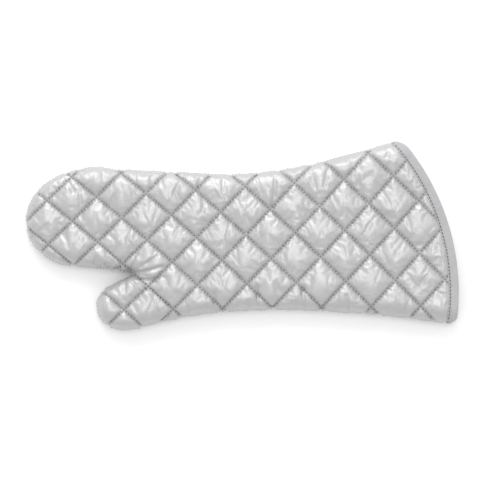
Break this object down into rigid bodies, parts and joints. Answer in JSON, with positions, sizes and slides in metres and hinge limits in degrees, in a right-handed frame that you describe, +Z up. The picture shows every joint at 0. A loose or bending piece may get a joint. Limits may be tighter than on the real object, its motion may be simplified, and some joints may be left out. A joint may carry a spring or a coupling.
{
  "type": "oven mitt",
  "caption": "Long-cuffed silver oven mitt, diamond quilted, lying flat, with a bound cuff and fingers and thumb that fold up.",
  "frame": {"origin": "centre of the mitt's outline, on the surface that its back lies on", "axes": "+X from the fingertips to the cuff, +Y away from the thumb, +Z up out of the palm"},
  "size_m": [0.4329, 0.1894, 0.028],
  "materials": {
    "coated_fabric": "silver-coated cotton with a soft metallic sheen",
    "wadding": "matte cotton wadding",
    "lining": "matte brushed cotton",
    "binding": "matte grey woven tape",
    "thread": "grey sewing thread"
  },
  "bodies": {
    "hand": {"palm_outer_hand": "coated_fabric", "palm_wadding_hand": "wadding", "palm_lining_hand": "lining", "palm_quilting_thread_hand": "thread", "back_outer_hand": "coated_fabric", "back_wadding_hand": "wadding", "back_lining_hand": "lining", "back_quilting_thread_hand": "thread", "seam_allowance_hand": "lining", "side_seam_thread_hand": "thread", "cuff_binding": "binding", "cuff_binding_thread": "thread"},
    "fingers": {"palm_outer_fingers": "coated_fabric", "palm_wadding_fingers": "wadding", "palm_lining_fingers": "lining", "palm_quilting_thread_fingers": "thread", "back_outer_fingers": "coated_fabric", "back_wadding_fingers": "wadding", "back_lining_fingers": "lining", "back_quilting_thread_fingers": "thread", "seam_allowance_fingers": "lining", "side_seam_thread_fingers": "thread"},
    "thumb": {"palm_outer_thumb": "coated_fabric", "palm_wadding_thumb": "wadding", "palm_lining_thumb": "lining", "palm_quilting_thread_thumb": "thread", "back_outer_thumb": "coated_fabric", "back_wadding_thumb": "wadding", "back_lining_thumb": "lining", "back_quilting_thread_thumb": "thread", "seam_allowance_thumb": "lining", "side_seam_thread_thumb": "thread"}
  },
  "joints": [
    {"name": "finger_bend", "type": "hinge", "parent": "hand", "child": "fingers", "pos_m": [-0.1332, 0.015, 0.013], "axis": [0, 1, 0], "range_deg": [0, 60], "stiffness_Nm_per_rad": 0.04},
    {"name": "thumb_bend", "type": "hinge", "parent": "hand", "child": "thumb", "pos_m": [-0.11992, -0.04745, 0.013], "axis": [-0.6428, 0.766, 0], "range_deg": [0, 60], "stiffness_Nm_per_rad": 0.02}
  ]
}
